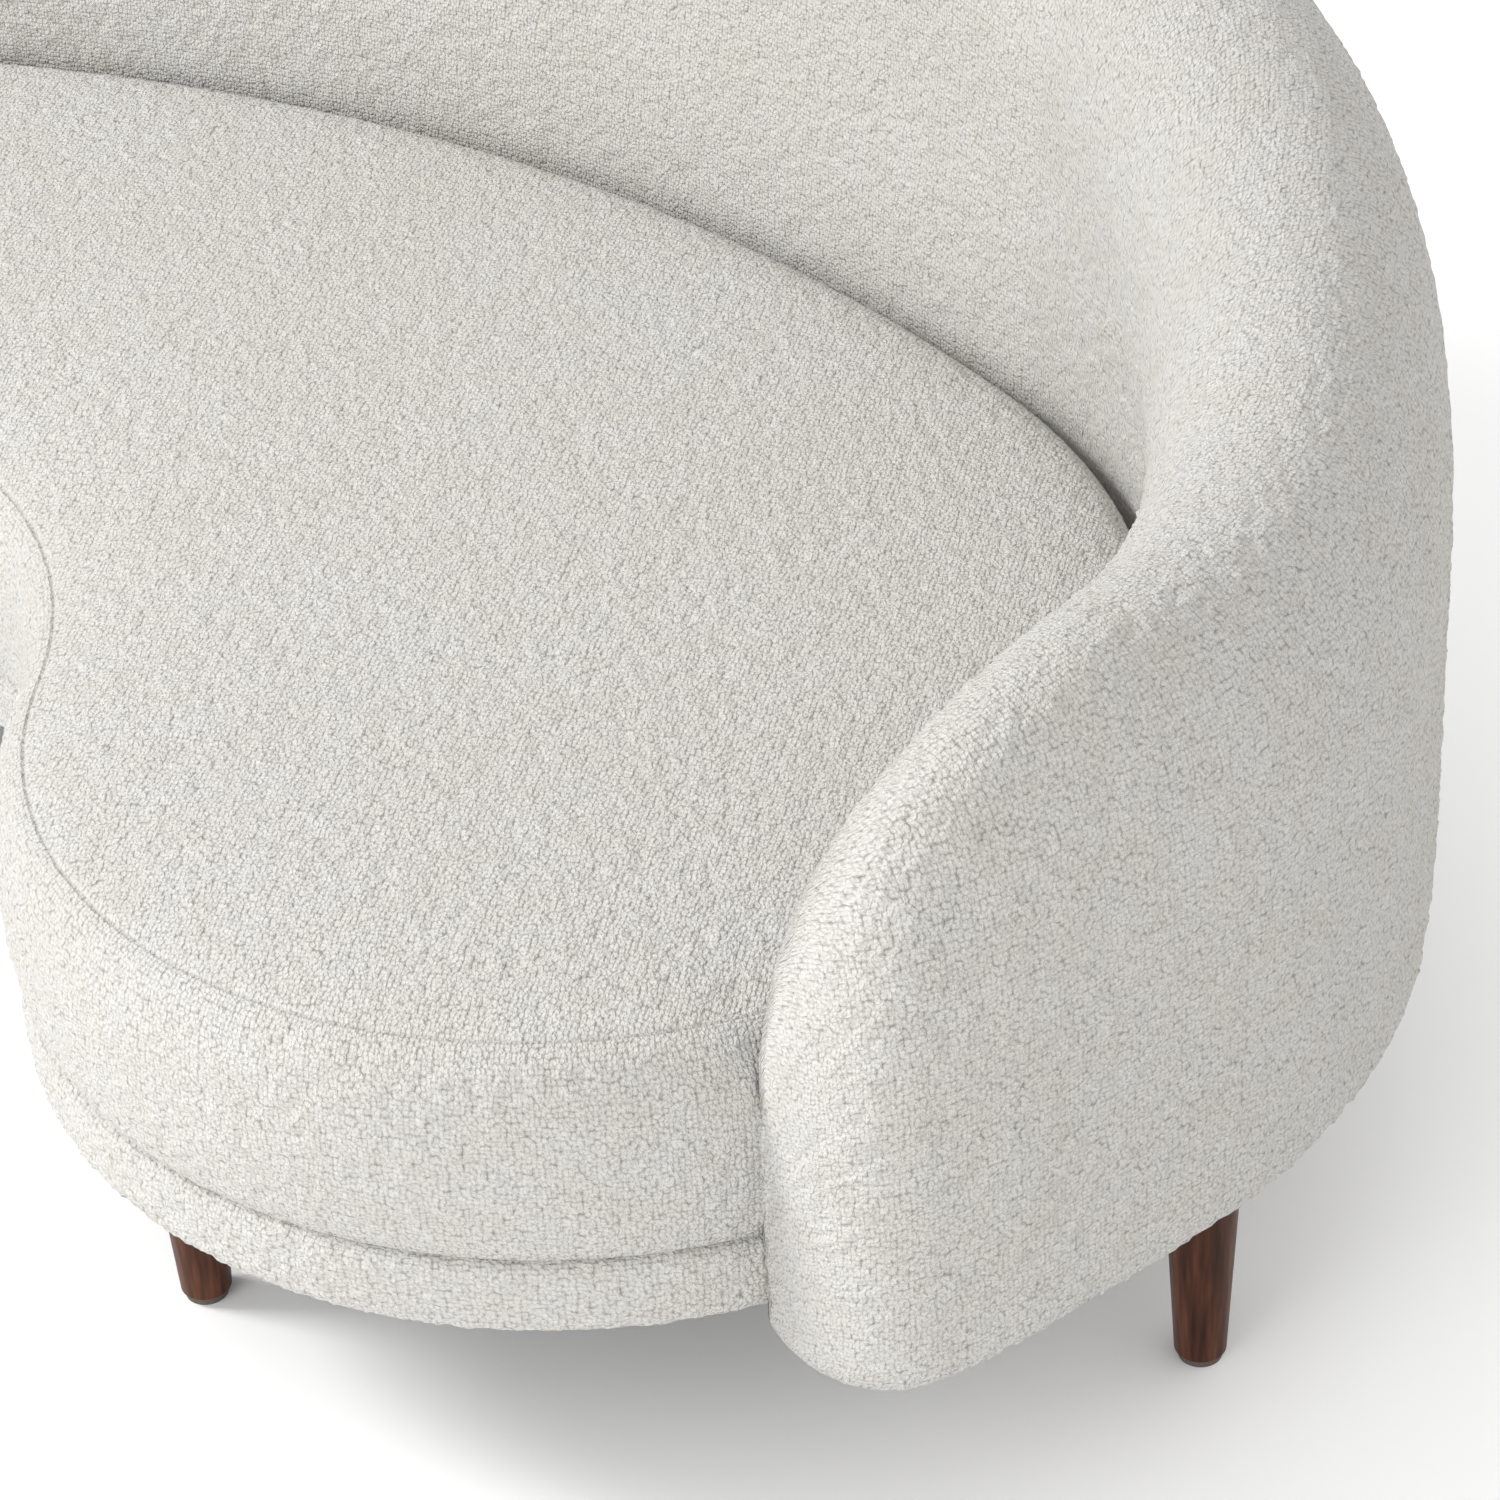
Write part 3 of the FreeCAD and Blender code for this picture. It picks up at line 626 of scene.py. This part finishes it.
def inside(plan, ring):
    """Which plan points lie inside a closed ring."""
    result = np.zeros(len(plan), bool)
    x, y = plan[:, 0], plan[:, 1]
    for (x1, y1), (x2, y2) in zip(ring, np.roll(ring, -1, axis=0)):
        if y1 == y2:
            continue
        crosses = (y1 > y) != (y2 > y)
        result ^= crosses & (x < (x2 - x1) * (y - y1) / (y2 - y1) + x1)
    return result


# radial offset and height of the padded rail under the seat in millimetres, from the underside up
BAND = [(-44, 150.9), (-30, 150.6), (-14, 150.8), (-5, 152.5), (1, 158), (4.5, 168), (5.5, 180),
        (4.9, 192), (3.4, 200), (0.5, 205), (-5, 207)]
BAND_INSIDE = [(-11, 204), (-12, 160), (-44, 152)]
BAND_LUMPS_FROM = 0.1515                   # height above which its loops are raised


def band_object():
    points, normals, angles = outline_stations(STEP)
    free = uncovered(angles)
    outer = smooth_line(BAND, max(16, round(0.14 / STEP)))
    section = np.concatenate([outer, BAND_INSIDE]) * MM
    radial = np.minimum(section[None, :, 0], -HIDDEN_INSET + 0.0055 * free)
    height = np.repeat(section[None, :, 1], len(points), 0)
    grid = lifted(points, normals, radial, height)
    faces = grid_faces(*height.shape, True, True)
    lumpy = np.clip((height - BAND_LUMPS_FROM) / LUMP_FADE, 0, 1) * (radial > -0.006) * free
    return mesh_object("rail_band_cover", grid.reshape(-1, 3), faces, BOUCLE,
                       ["rail_band_upholstery"], lumpy.ravel(), cloth_places(grid))


# ------------------------------------------------------------------ raised loops in the geometry
def raise_loops(obj):
    """Low lumps of the boucle's knots, so that the outline is nubby too."""
    for kind, scale, strength in (("VORONOI", 0.0060, -0.0036), ("CLOUDS", 0.014, 0.0018)):
        texture = bpy.data.textures.new(f"{obj.name}_{kind.lower()}", kind)
        texture.noise_scale = scale
        lump = obj.modifiers.new(kind.lower(), "DISPLACE")
        lump.texture = texture
        lump.texture_coords = "LOCAL"
        lump.vertex_group = "lumpy"
        lump.strength = strength
        lump.mid_level = 0.5


wrap = wrap_object()
seat = seat_object()
band = band_object()
for piece, fill in ((wrap, 0.95), (seat, 0.9), (band, 0.95)):
    raise_loops(piece)


# ------------------------------------------------------------------ floor, light and camera
FLOOR_HALF = 12.0          # half the floor's side


def stage_floor():
    corners = [(x * FLOOR_HALF, y * FLOOR_HALF, 0) for x, y in ((-1, -1), (1, -1), (1, 1), (-1, 1))]
    mesh = bpy.data.meshes.new("floor")
    mesh.from_pydata(corners, [], [(0, 1, 2, 3)])
    floor = bpy.data.objects.new("floor", mesh)
    bpy.context.scene.collection.objects.link(floor)
    mat, tree, shader = new_material("floor")
    shader.inputs["Base Color"].default_value = (0.97, 0.97, 0.97, 1)
    shader.inputs["Roughness"].default_value = 0.9
    shader.inputs["Emission Color"].default_value = (1, 1, 1, 1)
    shader.inputs["Emission Strength"].default_value = 0.03
    mesh.materials.append(mat)


def area_light(name, place, target, size, power):
    data = bpy.data.lights.new(name, "AREA")
    data.size = size
    data.energy = power
    light = bpy.data.objects.new(name, data)
    light.location = place
    light.rotation_euler = (Vector(target) - Vector(place)).to_track_quat("-Z", "Y").to_euler()
    bpy.context.scene.collection.objects.link(light)


stage_floor()
world = bpy.data.worlds.new("world")
bpy.context.scene.world = world
world.use_nodes = True
world.node_tree.nodes["Background"].inputs[0].default_value = (1.0, 1.0, 1.0, 1)
world.node_tree.nodes["Background"].inputs[1].default_value = 1.0
area_light("key", (-3.2, -0.6, 3.2), (0.3, 0.0, 0.3), 1.4, 155)
area_light("front", (-1.0, -3.8, 3.3), (0.4, 0.2, 0.4), 2.0, 22)
area_light("low", (-0.6, -3.4, 1.0), (0.5, 0.5, 0.6), 1.6, 26)
bpy.context.scene.view_settings.view_transform = "Standard"

CAMERA_PLACE = Vector((1.405, -2.542, 1.970))
CAMERA_TURN = 15.0
CAMERA_PITCH = 35.19
CAMERA_ROLL = -3.08
CAMERA_LENS = 112.8


def set_camera():
    turn, pitch, roll = (math.radians(a) for a in (CAMERA_TURN, CAMERA_PITCH, CAMERA_ROLL))
    ahead = Vector((-math.sin(turn) * math.cos(pitch), math.cos(turn) * math.cos(pitch),
                    -math.sin(pitch)))
    level = Vector((math.cos(turn), math.sin(turn), 0))
    upright = level.cross(ahead)
    right = level * math.cos(roll) + upright * math.sin(roll)
    up = upright * math.cos(roll) - level * math.sin(roll)
    data = bpy.data.cameras.new("camera")
    data.lens = CAMERA_LENS
    data.sensor_width = 36
    data.clip_end = 100
    camera = bpy.data.objects.new("camera", data)
    camera.matrix_world = Matrix.Translation(CAMERA_PLACE) @ Matrix(
        (right, up, -ahead)).transposed().to_4x4()
    bpy.context.scene.collection.objects.link(camera)
    bpy.context.scene.camera = camera


set_camera()
